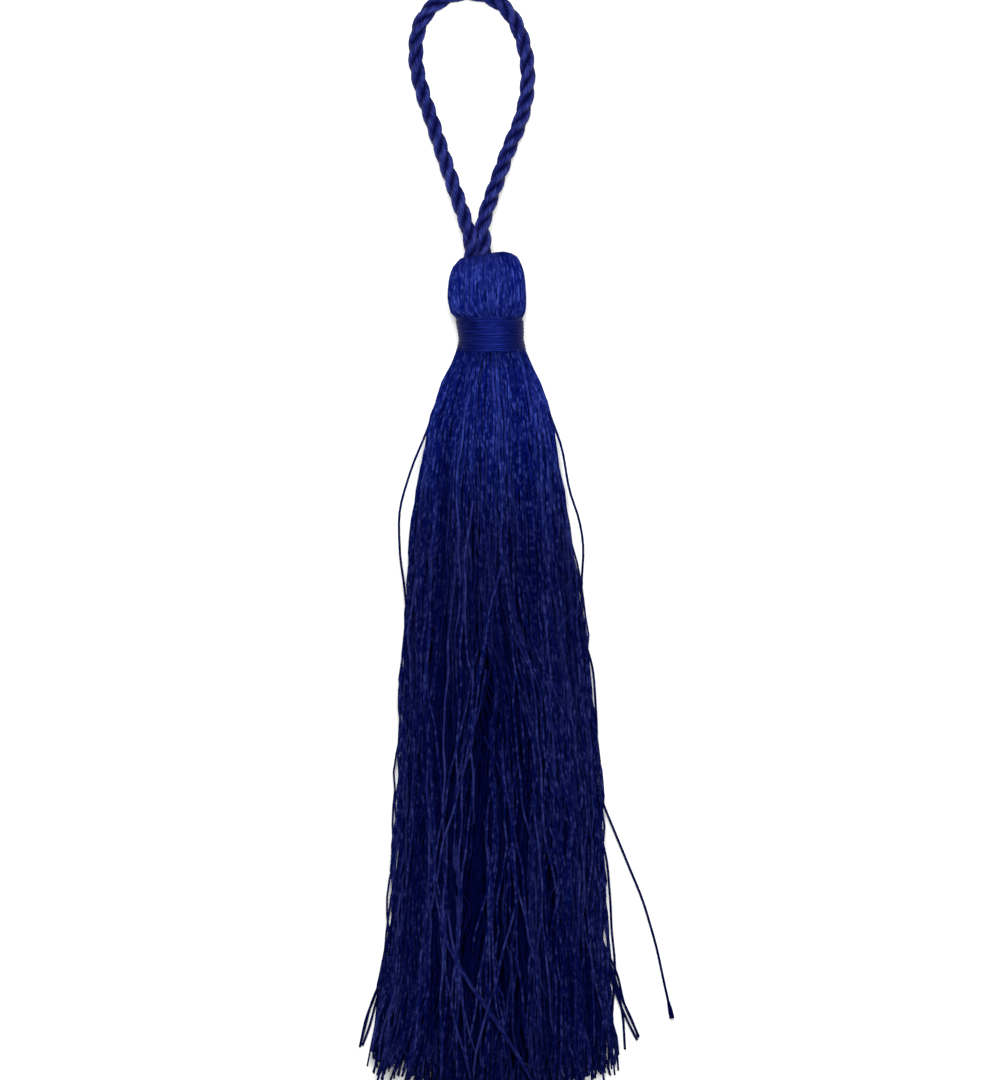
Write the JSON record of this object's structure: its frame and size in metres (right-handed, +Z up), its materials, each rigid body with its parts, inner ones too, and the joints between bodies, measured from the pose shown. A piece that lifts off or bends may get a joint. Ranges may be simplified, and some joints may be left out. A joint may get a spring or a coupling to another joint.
{
  "type": "tassel",
  "caption": "Silky thread tassel with a folded-over head, a wound neck binding, a loose cut skirt and a twisted cord hanging loop, lying flat on its back.",
  "frame": {"origin": "on the surface the tassel lies on, at the middle of the flat spot under its head", "axes": "+Y from the skirt's hem towards the hanging loop, +Z up from the surface, +X to the right seen from above with the loop at the top"},
  "size_m": [0.0474, 0.1736, 0.0121],
  "materials": {
    "rayon_thread": "navy blue two-ply rayon floss, silky sheen along the thread",
    "binding_thread": "navy blue rayon floss wound in close turns, silky",
    "loop_cord": "navy blue three-ply twisted rayon cord, silky"
  },
  "bodies": {
    "root": {"thread_bundle": "rayon_thread", "neck_binding": "binding_thread", "hanging_loop": "loop_cord"}
  },
  "joints": []
}
